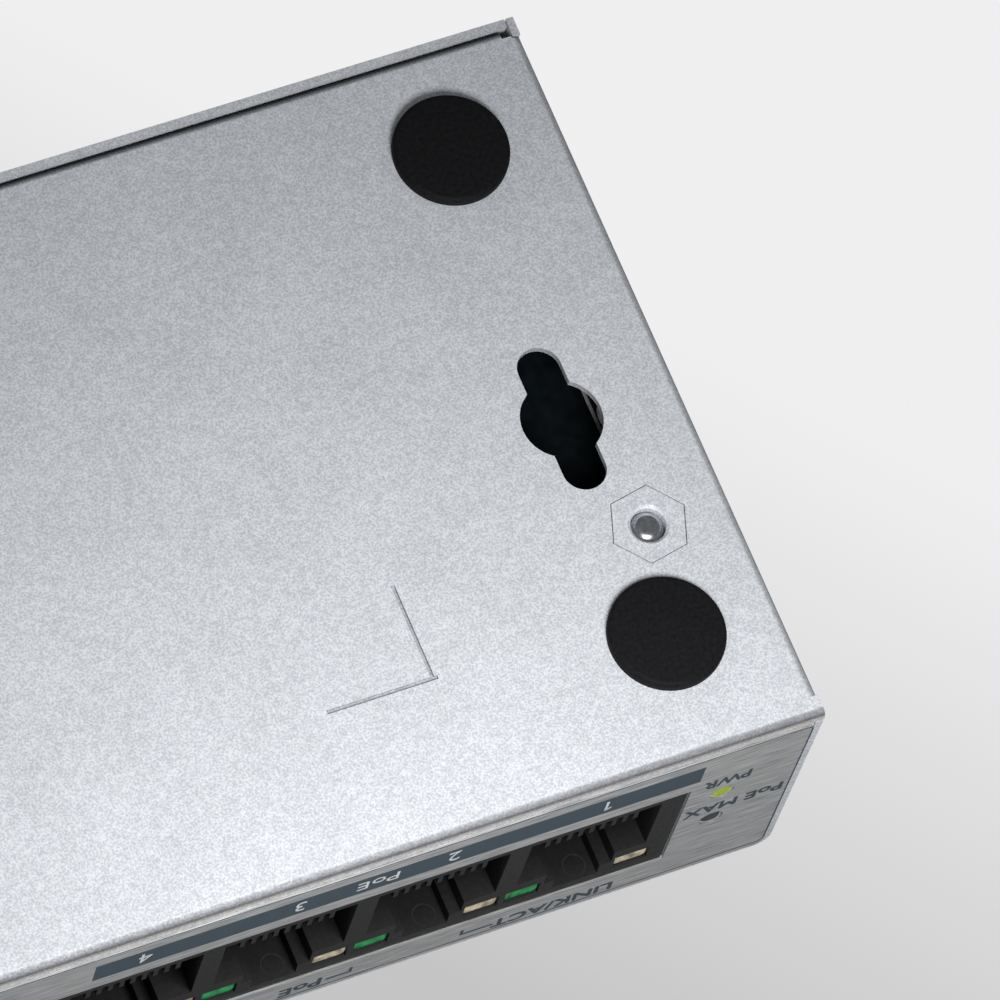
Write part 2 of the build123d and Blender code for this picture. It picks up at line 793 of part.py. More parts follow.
# Shielded choke: a square base with a round drum on it
with BuildPart() as buck_inductor:
    inductor_place = (side_x - inductor_inset_right, inductor_y)
    with BuildSketch(Plane.XY.offset(board_top)):
        with Locations(inductor_place):
            RectangleRounded(inductor_size, inductor_size, radius=inductor_corner)
    extrude(amount=inductor_height)
    chamfer(buck_inductor.edges().group_by(Axis.Z)[-1], length=inductor_groove)
    with BuildSketch(Plane.XY.offset(board_top + inductor_height)):
        with Locations(inductor_place):
            Circle(inductor_core / 2)
            Circle(inductor_core / 2 - inductor_groove, mode=Mode.SUBTRACT)
    extrude(amount=-inductor_groove, mode=Mode.SUBTRACT)
save(buck_inductor, "buck_inductor")

# Clock crystal: a pressed can on a rolled foot
with BuildPart() as crystal:
    crystal_place = (switch_chip_x, rear_row_y)
    with BuildSketch(Plane.XY.offset(board_top)):
        with Locations(crystal_place):
            SlotOverall(crystal_length, crystal_width)
    extrude(amount=crystal_foot)
    with BuildSketch(Plane.XY.offset(board_top)):
        with Locations(crystal_place):
            SlotOverall(crystal_length - 2 * crystal_rim, crystal_width - 2 * crystal_rim)
    extrude(amount=crystal_height)
    chamfer(crystal.edges().group_by(Axis.Z)[-1], length=crystal_rim)
save(crystal, "crystal")

# Input protection
for node, width, length, height, x, y in (
    ("input_fuse", fuse_width, fuse_length, fuse_height, side_x - fuse_inset_right, fuse_y),
    ("surge_diode", diode_width, diode_length, diode_height, diode_inset - side_x, rear_row_y),
):
    with BuildPart() as protector:
        with BuildSketch(Plane.XY.offset(board_top)):
            with Locations((x, y)):
                Rectangle(width, length)
        extrude(amount=height)
        chamfer(protector.edges().group_by(Axis.Z)[-1], length=protector_bevel)
    save(protector, node)
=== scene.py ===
import math

import bmesh
import bpy
from bpy.props import FloatProperty, FloatVectorProperty, PointerProperty
from mathutils import Matrix, Vector


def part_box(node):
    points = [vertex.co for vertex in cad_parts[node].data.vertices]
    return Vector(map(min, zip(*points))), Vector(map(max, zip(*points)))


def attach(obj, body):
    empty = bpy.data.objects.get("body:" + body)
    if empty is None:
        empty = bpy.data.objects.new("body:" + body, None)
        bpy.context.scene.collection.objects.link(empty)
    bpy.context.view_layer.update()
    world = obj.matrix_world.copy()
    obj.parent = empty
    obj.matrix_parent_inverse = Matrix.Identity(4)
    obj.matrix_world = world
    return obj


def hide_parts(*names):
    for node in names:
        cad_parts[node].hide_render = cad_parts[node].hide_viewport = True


# Finishes a small metal network switch: silver coating, brushed printed front, jacks and lamps.
# Metres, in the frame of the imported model: +Z up, the jacks face -Y, +X to the right.

bl_info = {
    "name": "Network switch finish",
    "version": (1, 0, 0),
    "blender": (4, 5, 0),
    "location": "View3D > Sidebar > Switch",
    "description": "Coatings, print and soft edges of a small metal network switch, and its stage",
    "category": "Object",
}

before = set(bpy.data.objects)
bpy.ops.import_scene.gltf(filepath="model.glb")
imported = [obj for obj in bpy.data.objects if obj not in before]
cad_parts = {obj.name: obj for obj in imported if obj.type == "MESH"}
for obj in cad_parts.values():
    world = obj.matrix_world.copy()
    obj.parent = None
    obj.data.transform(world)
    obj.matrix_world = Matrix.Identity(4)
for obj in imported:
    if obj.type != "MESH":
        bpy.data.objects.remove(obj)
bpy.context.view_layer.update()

BODY = "root"
PORTS = range(1, 6)
FOOT_PLACES = ("front_left", "front_right", "rear_left", "rear_right")
PLAIN = (1.0, 1.0, 1.0)
SENSOR_WIDTH = 36.0

# Painted shade in the jacks: how far into a jack its plastic darkens, and to what share of its colour
JACK_SHADE_REACH = 0.002
JACK_PAINTED_SHADE = (0.50, 0.50, 0.51)

# Share of the painted shade over the bends on the tray's sides
SIDE_SHADE_SHARE = 0.45

# Painted shadow inside the gap at the tray's rear, where it starts and how far it grows, in bend radii
GAP_PAINTED_SHADOW = (0.09, 0.10, 0.12)
GAP_START = 0.52
GAP_FADE = 0.14

# Painted shade on the tray's coating over its bends, by height in a range of two bend radii: a dark band, a
# brownish dark line and a cream tint above
PAINTED_BEND_SHADE = (
    (0.007, (0.80, 0.80, 0.80)),
    (0.014, (0.60, 0.60, 0.60)),
    (0.028, (0.44, 0.44, 0.45)),
    (0.050, (0.38, 0.38, 0.39)),
    (0.150, (0.34, 0.34, 0.35)),
    (0.200, (0.23, 0.21, 0.20)),
    (0.260, (0.23, 0.21, 0.20)),
    (0.320, (0.46, 0.44, 0.42)),
    (0.400, (0.64, 0.62, 0.59)),
    (0.530, (0.92, 0.89, 0.84)),
    (0.880, (0.92, 0.89, 0.84)),
)
PAINTED_BEND_SHADE_START, PAINTED_BEND_SHADE_END = 0.002, 0.96

# Lengthening of the brushed film's strokes along X, fine and coarse, and their relief
FINE_STROKES = (0.022, 1.0, 1.0)
COARSE_STROKES = (0.014, 1.0, 1.0)
FILM_RELIEF = 0.000006

# Tinned leads under each chip's body, and half the blur between the two
LEAD_HEIGHT = 0.0003
LEAD_BLUR = 0.00001
LEAD_TIN = (0.62, 0.63, 0.64, 1.0)

# Words on the film: name, text, middle from the left side and above the underside, widening
WORD_ROW = 0.0249
WORDS = (
    ("power_word", "PWR", 0.0077, 0.00785, 0.95),
    ("max_word", "PoE MAX", 0.0061, 0.0136, 1.08),
    ("link_word", "LINK/ACT", 0.0210, WORD_ROW, 1.2),
    ("poe_word", "PoE", 0.0444, WORD_ROW, 1.2),
)
BAR_WORD_MIDDLE = 0.0404

# Printed brackets from the words to the jacks' lamps: end at the word, end above the lamp
BRACKETS = ((0.0265, 0.0296), (0.0420, 0.0396))
BRACKET_FOOT = 0.0240

# Slanted stroke of the number 1: shift and drop in its own lengths, width in rule widths, slant
FLAG_SHIFT = 0.42
FLAG_DROP = 0.36
FLAG_WIDTH = 0.6
FLAG_SLANT = math.radians(-42)

# Parts of a quarter circle at each corner of the painted shadow along the film's edge
CORNER_STEPS = 8

# Tone of the mould's pin marks against the plastic round them, without the plastic's painted shade
PIN_MARK_TONE = 1.15

# Lamps of the stage: name, place, aim, size in metres and energy in watts
LAMPS = (
    ("lamp_below", (-0.015, -0.084, -0.096), (0.0, -0.03, 0.0), 0.05, 0.185),
    ("lamp_front", (-0.20, -0.45, 0.45), (0.0, -0.03, 0.01), 0.35, 0.35),
    ("lamp_top", (0.25, 0.10, 0.90), (0.0, 0.0, 0.0), 0.60, 5.0),
    ("lamp_rear", (-0.50, 0.60, 0.60), (0.0, 0.0, 0.0), 0.50, 2.4),
)
AMBIENT_TINT = (0.93, 0.96, 1.0, 1.0)


def color_property(name, description, default):
    return FloatVectorProperty(
        name=name, description=description, default=default, size=3, min=0.0, max=1.0, subtype="COLOR"
    )


def length_property(name, description, default):
    return FloatProperty(
        name=name, description=description, default=default, unit="LENGTH", subtype="DISTANCE", precision=5
    )


# Settings that a user would change


class CaseSettings(bpy.types.PropertyGroup):
    light: color_property("Light grains", "Brightest grains of the silver coating", (0.81, 0.83, 0.865))
    dark: color_property("Dark grains", "Darkest grains of the silver coating", (0.58, 0.60, 0.635))
    grain: length_property("Grain size", "Size of one grain of the coating", 0.00019)
    relief: length_property("Grain relief", "Height of the coating's grain", 0.00002)
    cloud: length_property("Cloud size", "Size of the coating's faint clouds", 0.009)
    bend: length_property("Bend", "Outer radius of the tray's bends", 0.00085)
    rubber: color_property("Rubber", "Colour of the feet", (0.010, 0.010, 0.011))
    foot_round: length_property("Foot rounding", "Radius of the feet's lower rim", 0.00045)


class FrontSettings(bpy.types.PropertyGroup):
    light: color_property("Light strokes", "Brightest strokes of the brushed film", (0.62, 0.62, 0.62))
    dark: color_property("Dark strokes", "Darkest strokes of the brushed film", (0.26, 0.26, 0.265))
    stroke: length_property("Stroke width", "Width of one brush stroke", 0.00007)
    slate: color_property("Slate ink", "Ink of the bar and the words", (0.055, 0.078, 0.098))
    white: color_property("White ink", "Ink of the words on the bar", (0.64, 0.66, 0.68))
    ink: length_property("Ink thickness", "Height of the print above the film", 0.000012)
    bar_left: length_property("Bar left end", "From the left side of the case", 0.0106)
    bar_right: length_property("Bar right end", "From the left side of the case", 0.0660)
    bar_low: length_property("Bar lower edge", "Above the underside of the case", 0.0030)
    bar_high: length_property("Bar upper edge", "Above the underside of the case", 0.0061)
    number_height: length_property("Number height", "Height of the port numbers", 0.0018)
    word_height: length_property("Word height", "Height of the capitals of the words", 0.0015)
    flag: length_property("Flag", "Length of the slanted stroke of the number 1", 0.00062)
    bold: FloatProperty(name="Boldness", description="Shift of a bold word's prints", default=0.032)
    rule: length_property("Rule width", "Width of the printed rules", 0.0003)
    # Painted shadow along the film's edge: its width, the film's corner radius, and its margin below the
    # film's upper edge
    outline: length_property("Outline width", "Width of the dark line along the film's edge", 0.00015)
    corner: length_property("Film corner", "Radius of the film's corners", 0.00075)
    margin: length_property("Outline margin", "From the film's upper edge down to its dark line", 0.00055)


class JackSettings(bpy.types.PropertyGroup):
    plastic: color_property("Jack plastic", "Moulding of the jacks", (0.018, 0.018, 0.019))
    gold: color_property("Contact gold", "Plating of the spring wires", (0.78, 0.56, 0.22))
    cream: color_property("Cream lamp", "Lamp in the upper left of a jack", (0.72, 0.62, 0.44))
    green: color_property("Green lamp", "Lamp in the upper right of a jack", (0.02, 0.34, 0.09))
    lime: color_property("Lime lamp", "Power lamp", (0.44, 0.60, 0.001))
    unlit: color_property("Unlit lamp", "Lamp that shows full load", (0.028, 0.029, 0.033))
    board: color_property("Board", "Solder mask of the circuit board", (0.004, 0.006, 0.007))
    laminate: color_property("Bare laminate", "Edge of the board without solder mask", (0.30, 0.31, 0.30))
    waist: length_property("Waist", "From the side of the case to the board's waist", 0.0057)
    bare: length_property("Bare edge", "Width of the board's bare edge", 0.0003)
    skin: length_property("Mask thickness", "Thickness of a surface layer of the board", 0.00003)
    keyhole_depth: length_property("Keyhole", "From the front to the middle of a keyhole", 0.0325)
    keyhole_length: length_property("Keyhole length", "Length of a keyhole and of a waist", 0.0135)
    mark_radius: length_property("Pin mark", "Radius of the mould's pin mark in a latch recess", 0.00105)
    mark_depth: length_property("Pin mark depth", "From the block's face to a pin mark's middle", 0.00127)
    mark_shift: length_property("Pin mark shift", "From a jack's middle left to its pin mark's", 0.0005)
    mark_width: length_property("Pin mark width", "Width of a pin mark's ring", 0.00012)
    latch_roof: length_property("Latch roof", "From the block's top down to a latch recess's roof", 0.0013)


class StageSettings(bpy.types.PropertyGroup):
    target: FloatVectorProperty(
        name="Target", description="Point that the camera looks at", default=(-0.0313, -0.0073, 0.0010),
        size=3, unit="LENGTH", subtype="TRANSLATION",
    )
    distance: length_property("Distance", "From the camera to its target", 0.9337)
    azimuth: FloatProperty(
        name="Azimuth", description="Camera's bearing, from the front towards the right side",
        default=math.radians(41.52), unit="ROTATION", subtype="ANGLE",
    )
    elevation: FloatProperty(
        name="Elevation", description="Camera's height angle, below the floor when negative",
        default=math.radians(-63.65), unit="ROTATION", subtype="ANGLE",
    )
    roll: FloatProperty(
        name="Roll", description="Turn of the camera about its own line of sight",
        default=math.radians(-159.22), unit="ROTATION", subtype="ANGLE",
    )
    lens: FloatProperty(name="Lens", description="Focal length in millimetres", default=400.0)
    floor: color_property("Floor", "Plain pale floor", (0.72, 0.72, 0.72))
    floor_size: length_property("Floor size", "Length of the floor's sides", 6.0)
    sky_light: color_property("Light background", "Top of the picture", (0.865, 0.865, 0.865))
    # Painted shade on the background, at the foot of the picture
    sky_dark: color_property("Dark background", "Foot of the picture", (0.555, 0.555, 0.555))
    ambient: FloatProperty(name="Ambient", description="Strength of the light from all round", default=0.16)


# Materials, made of nodes on Object coordinates


def start_material(name, roughness, metallic=0.0):
    material = bpy.data.materials.new(name)
    material.use_nodes = True
    shader = material.node_tree.nodes["Principled BSDF"]
    shader.inputs["Roughness"].default_value = roughness
    shader.inputs["Metallic"].default_value = metallic
    return material, material.node_tree, shader


def add_noise(tree, size, detail=2.0, stretch=(1.0, 1.0, 1.0)):
    coordinates = tree.nodes.new("ShaderNodeTexCoord")
    mapping = tree.nodes.new("ShaderNodeMapping")
    mapping.inputs["Scale"].default_value = stretch
    noise = tree.nodes.new("ShaderNodeTexNoise")
    noise.inputs["Scale"].default_value = 1.0 / size
    noise.inputs["Detail"].default_value = detail
    tree.links.new(coordinates.outputs["Object"], mapping.inputs["Vector"])
    tree.links.new(mapping.outputs["Vector"], noise.inputs["Vector"])
    return noise.outputs["Fac"]


def add_axis(tree, axis):
    coordinates = tree.nodes.new("ShaderNodeTexCoord")
    parts = tree.nodes.new("ShaderNodeSeparateXYZ")
    tree.links.new(coordinates.outputs["Object"], parts.inputs["Vector"])
    return parts.outputs[axis]


def add_ramp(tree, source, dark, light, start=0.35, end=0.65):
    ramp = tree.nodes.new("ShaderNodeValToRGB")
    ramp.color_ramp.elements[0].position = start
    ramp.color_ramp.elements[0].color = (*dark, 1.0)
    ramp.color_ramp.elements[1].position = end
    ramp.color_ramp.elements[1].color = (*light, 1.0)
    tree.links.new(source, ramp.inputs["Fac"])
    return ramp.outputs["Color"]


def add_range(tree, source, low, high, start=0.3, end=0.7):
    span = tree.nodes.new("ShaderNodeMapRange")
    span.inputs["From Min"].default_value = start
    span.inputs["From Max"].default_value = end
    span.inputs["To Min"].default_value = low
    span.inputs["To Max"].default_value = high
    tree.links.new(source, span.inputs["Value"])
    return span.outputs["Result"]


def add_multiply(tree, first, second, share=None):
    mix = tree.nodes.new("ShaderNodeMix")
    mix.data_type = "RGBA"
    mix.blend_type = "MULTIPLY"
    mix.inputs["Factor"].default_value = 1.0
    if share is not None:
        tree.links.new(share, mix.inputs["Factor"])
    tree.links.new(first, mix.inputs["A"])
    tree.links.new(second, mix.inputs["B"])
    return mix.outputs["Result"]


def add_math(tree, operation, *values):
    """A Math node whose inputs are sockets or numbers."""
    node = tree.nodes.new("ShaderNodeMath")
    node.operation = operation
    for place, value in zip(node.inputs, values):
        if isinstance(value, bpy.types.NodeSocket):
            tree.links.new(value, place)
        else:
            place.default_value = value
    return node.outputs["Value"]


def add_relief(tree, shader, source, height):
    bump = tree.nodes.new("ShaderNodeBump")
    bump.inputs["Strength"].default_value = 1.0
    bump.inputs["Distance"].default_value = height
    tree.links.new(source, bump.inputs["Height"])
    tree.links.new(bump.outputs["Normal"], shader.inputs["Normal"])


def add_end_share(tree, low, high, reach):
    """1 within reach of either end of a box along Y, and the sides' share of the painted bend shade between
    them.
    """
    offset = add_math(tree, "SUBTRACT", add_axis(tree, "Y"), (low.y + high.y) / 2)
    distance = add_math(tree, "ABSOLUTE", offset)
    end = (high.y - low.y) / 2
    return add_range(tree, distance, SIDE_SHADE_SHARE, 1.0, end - 2 * reach, end - reach)


def silver_coating(name, case, tray=None):
    """Grainy silver stove coating on folded steel, with painted shade over the bends of a tray's box and a
    painted shadow in the gap at its rear.
    """
    material, tree, shader = start_material(name, 0.5, metallic=0.15)
    shader.inputs["Specular IOR Level"].default_value = 0.3
    grain = add_noise(tree, case.grain, detail=3.0)
    clump = add_noise(tree, 4 * case.grain)
    cloud = add_noise(tree, case.cloud, detail=3.0)
    color = add_ramp(tree, grain, case.dark, case.light, 0.38, 0.62)
    for source, dullest in ((clump, 0.90), (cloud, 0.95)):
        shade = add_ramp(tree, source, (dullest, dullest, dullest), PLAIN)
        color = add_multiply(tree, color, shade)
    if tray is not None:
        low, high = tray
        # Painted shade over the bends: a dark band and a brownish line low on the tray, fainter on its
        # sides
        height = add_range(tree, add_axis(tree, "Z"), 0.0, 1.0, low.z, low.z + 2 * case.bend)
        bend_shade = add_ramp(tree, height, PLAIN, PLAIN, PAINTED_BEND_SHADE_START, PAINTED_BEND_SHADE_END)
        stops = bend_shade.node.color_ramp.elements
        for place, tint in PAINTED_BEND_SHADE:
            stops.new(place).color = (*tint, 1.0)
        color = add_multiply(tree, color, bend_shade, add_end_share(tree, low, high, case.bend))
        # Painted shadow in the gap at the tray's rear
        gap_start = high.y - GAP_START * case.bend
        gap_end = gap_start + GAP_FADE * case.bend
        depth = add_range(tree, add_axis(tree, "Y"), 0.0, 1.0, gap_start, gap_end)
        color = add_multiply(tree, color, add_ramp(tree, depth, PLAIN, GAP_PAINTED_SHADOW, 0.0, 1.0))
    tree.links.new(color, shader.inputs["Base Color"])
    tree.links.new(add_range(tree, grain, 0.60, 0.46), shader.inputs["Roughness"])
    add_relief(tree, shader, grain, case.relief)
    return material


def brushed_film(front):
    """Brushed metal look of the printed front film, its strokes along X."""
    material, tree, shader = start_material("brushed_film", 0.42, metallic=0.45)
    fine = add_noise(tree, front.stroke, stretch=FINE_STROKES)
    coarse = add_noise(tree, front.stroke * 4, detail=3.0, stretch=COARSE_STROKES)
    color = add_ramp(tree, fine, front.dark, front.light)
    shade = add_ramp(tree, coarse, (0.84, 0.84, 0.84), PLAIN)
    tree.links.new(add_multiply(tree, color, shade), shader.inputs["Base Color"])
    tree.links.new(add_range(tree, fine, 0.52, 0.36), shader.inputs["Roughness"])
    add_relief(tree, shader, fine, FILM_RELIEF)
    return material


def speckled(
    name, color, roughness, size, contrast=0.25, metallic=0.0, relief=0.0, gloss_level=0.5, painted_shade_from=None
):
    """Plain coloured stuff with a fine mottle, slightly uneven gloss and a faint relief; painted shade
    further along Y, if a start for it is given.
    """
    material, tree, shader = start_material(name, roughness, metallic)
    shader.inputs["Specular IOR Level"].default_value = gloss_level
    mottle = add_noise(tree, size, detail=3.0)
    dark = [channel * (1.0 - contrast) for channel in color]
    light = [min(1.0, channel * (1.0 + contrast)) for channel in color]
    tint = add_ramp(tree, mottle, dark, light, 0.3, 0.7)
    # Painted shade: the colour darkens deeper into the jacks, along Y
    if painted_shade_from is not None:
        depth = add_range(tree, add_axis(tree, "Y"), 0.0, 1.0, painted_shade_from, painted_shade_from + JACK_SHADE_REACH)
        tint = add_multiply(tree, tint, add_ramp(tree, depth, PLAIN, JACK_PAINTED_SHADE, 0.0, 1.0))
    tree.links.new(tint, shader.inputs["Base Color"])
    gloss = add_range(tree, mottle, roughness * 0.88, min(1.0, roughness * 1.12))
    tree.links.new(gloss, shader.inputs["Roughness"])
    if relief:
        add_relief(tree, shader, mottle, relief)
    return material


def lamp_lens(name, color, cloudy=0.55):
    """Tinted lens of a small lamp, more or less cloudy inside."""
    material, tree, shader = start_material(name, 0.3)
    shader.inputs["Specular IOR Level"].default_value = 0.2
    cloud = add_noise(tree, 0.0009, stretch=(1.0, 0.5, 0.7))
    dark = [channel * (1.0 - cloudy) for channel in color]
    light = [min(1.0, channel * (1.0 + 0.7 * cloudy)) for channel in color]
    tree.links.new(add_ramp(tree, cloud, dark, light, 0.34, 0.66), shader.inputs["Base Color"])
    shader.inputs["Coat Weight"].default_value = 0.05
    shader.inputs["Coat Roughness"].default_value = 0.12
    return material


def chip_epoxy(board_top):
    """Black chip body on tinned leads, which are the lowest part of each chip."""
    material, tree, shader = start_material("chip_epoxy", 0.45)
    lead_top = board_top + LEAD_HEIGHT
    body = add_range(tree, add_axis(tree, "Z"), 0.0, 1.0, lead_top - LEAD_BLUR, lead_top + LEAD_BLUR)
    mottle = add_noise(tree, 0.0004)
    epoxy = add_ramp(tree, mottle, (0.012, 0.012, 0.013), (0.028, 0.028, 0.030))
    mix = tree.nodes.new("ShaderNodeMix")
    mix.data_type = "RGBA"
    mix.inputs["A"].default_value = LEAD_TIN
    tree.links.new(body, mix.inputs["Factor"])
    tree.links.new(epoxy, mix.inputs["B"])
    tree.links.new(mix.outputs["Result"], shader.inputs["Base Color"])
    tree.links.new(add_range(tree, body, 1.0, 0.0, 0.0, 1.0), shader.inputs["Metallic"])
    return material


# Helpers for pieces


def dress(nodes, material):
    for name in nodes:
        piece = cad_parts[name]
        if not piece.material_slots:
            piece.data.materials.append(material)
        for place in piece.material_slots:
            place.material = material


def keep_piece(mesh, name, material):
    """A finished mesh, already in place, becomes a piece that rides on the case."""
    piece = bpy.data.objects.new(name, mesh)
    bpy.context.scene.collection.objects.link(piece)
    mesh.materials.clear()
    mesh.materials.append(material)
    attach(piece, BODY)
    return piece


def finish_shape(shape, name, material, smooth_angle=None):
    """Turns the faces of a bmesh outwards and keeps it as a piece."""
    bmesh.ops.recalc_face_normals(shape, faces=shape.faces)
    mesh = bpy.data.meshes.new(name)
    shape.to_mesh(mesh)
    shape.free()
    if smooth_angle is not None:
        mesh.shade_smooth()
        mesh.set_sharp_from_angle(angle=smooth_angle)
    return keep_piece(mesh, name, material)


def extrude_faces(shape, shift):
    """Extrudes all faces of a bmesh by a shift, and returns the moved corners."""
    raised = bmesh.ops.extrude_face_region(shape, geom=shape.faces[:])
    moved = [item for item in raised["geom"] if isinstance(item, bmesh.types.BMVert)]
    bmesh.ops.translate(shape, verts=moved, vec=shift)
    return moved


def on_front(x, z):
    """Point on the film's face, from the left side and the underside of the case."""
    case_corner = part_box("base_tray")[0]
    return Vector((case_corner.x + x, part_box("front_film")[0].y, case_corner.z + z))


def jack_middle(number):
    """Middle of a jack along X, in the frame."""
    low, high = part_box(f"port_contacts_{number}")
    return (low.x + high.x) / 2


def print_box(shape, left, right, low, high, thickness):
    """Adds a thin printed rectangle on the film to a bmesh."""
    corner = on_front(left, low)
    far = on_front(right, high)
    middle = (corner + far) / 2 + Vector((0.0, -thickness / 2, 0.0))
    size = Vector((far.x - corner.x, thickness, far.z - corner.z))
    matrix = Matrix.Translation(middle) @ Matrix.Diagonal((*size, 1.0))
    bmesh.ops.create_cube(shape, size=1.0, matrix=matrix)


def print_word(name, words, x, z, height, material, thickness, wide=1.0, bold=0.0):
    """Prints a word on the film, centred on x, with its capitals' middle at z.

    Bold words are three prints of one word, a little apart and each a little higher.
    """
    curve = bpy.data.curves.new(name, type="FONT")
    curve.body = words
    curve.size = 1.0
    curve.resolution_u = 3
    letters = bpy.data.objects.new(name + "_letters", curve)
    bpy.context.scene.collection.objects.link(letters)
    flat = bpy.data.meshes.new_from_object(letters)
    bpy.data.objects.remove(letters)
    bpy.data.curves.remove(curve)
    xs = [vertex.co.x for vertex in flat.vertices]
    ys = [vertex.co.y for vertex in flat.vertices]
    scale = height / (max(ys) - min(ys))
    middle = Vector(((max(xs) + min(xs)) / 2, (max(ys) + min(ys)) / 2, 0.0))
    stand = Matrix.Translation(on_front(x, z)) @ Matrix.Rotation(math.radians(90), 4, "X")
    shape = bmesh.new()
    prints = ((-bold, -bold), (bold, -bold), (0.0, bold)) if bold else ((0.0, 0.0),)
    for number, (across, along) in enumerate(prints):
        layer = bmesh.new()
        layer.from_mesh(flat)
        bmesh.ops.remove_doubles(layer, verts=layer.verts, dist=1e-5)
        bmesh.ops.translate(layer, verts=layer.verts, vec=Vector((across, along, 0.0)) - middle)
        bmesh.ops.scale(layer, verts=layer.verts, vec=(scale * wide, scale, 1.0))
        extrude_faces(layer, (0.0, 0.0, thickness * (1.0 + 0.1 * number)))
        bmesh.ops.transform(layer, matrix=stand, verts=layer.verts)
        copy = bpy.data.meshes.new("layer")
        layer.to_mesh(copy)
        layer.free()
        shape.from_mesh(copy)
        bpy.data.meshes.remove(copy)
    bpy.data.meshes.remove(flat)
    return finish_shape(shape, name, material)


# Operators


class CoatCase(bpy.types.Operator):
    """Coats the tray, the cover and the press-in standoffs in grainy silver."""

    bl_idname = "network_switch.coat_case"
    bl_label = "Coat the case"

    def execute(self, context):
        case = context.scene.switch_case
        # The tray's coating carries painted shade over its bends and a painted shadow in its rear gap
        dress(("base_tray",), silver_coating("tray_coating_painted_shade", case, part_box("base_tray")))
        dress(("top_cover", "board_standoffs"), silver_coating("cover_coating", case))
        return {"FINISHED"}


class SoftenFeet(bpy.types.Operator):
    """Replaces each foot by a rubber one whose lower rim is rounded."""

    bl_idname = "network_switch.soften_feet"
    bl_label = "Soften the feet"

    def execute(self, context):
        case = context.scene.switch_case
        rubber = speckled(
            "foot_rubber", case.rubber, 0.62, 0.00035, contrast=0.3, relief=0.00001, gloss_level=0.06
        )
        for place in FOOT_PLACES:
            node = f"rubber_foot_{place}"
            low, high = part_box(node)
            middle = (low + high) / 2
            shape = bmesh.new()
            bmesh.ops.create_circle(
                shape, cap_ends=True, segments=96, radius=(high.x - low.x) / 2,
                matrix=Matrix.Translation((middle.x, middle.y, high.z)),
            )
            lower = set(extrude_faces(shape, (0.0, 0.0, low.z - high.z)))
            rim = [edge for edge in shape.edges if set(edge.verts) <= lower]
            bmesh.ops.bevel(
                shape, geom=rim, offset=case.foot_round, affect="EDGES", segments=5, profile=0.5,
                material=-1,
            )
            piece = finish_shape(shape, f"soft_foot_{place}", rubber, math.radians(40))
            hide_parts(node)
        return {"FINISHED"}


class BrushFront(bpy.types.Operator):
    """Gives the front film its brushed face."""

    bl_idname = "network_switch.brush_front"
    bl_label = "Brush the front"

    def execute(self, context):
        dress(("front_film",), brushed_film(context.scene.switch_front))
        return {"FINISHED"}


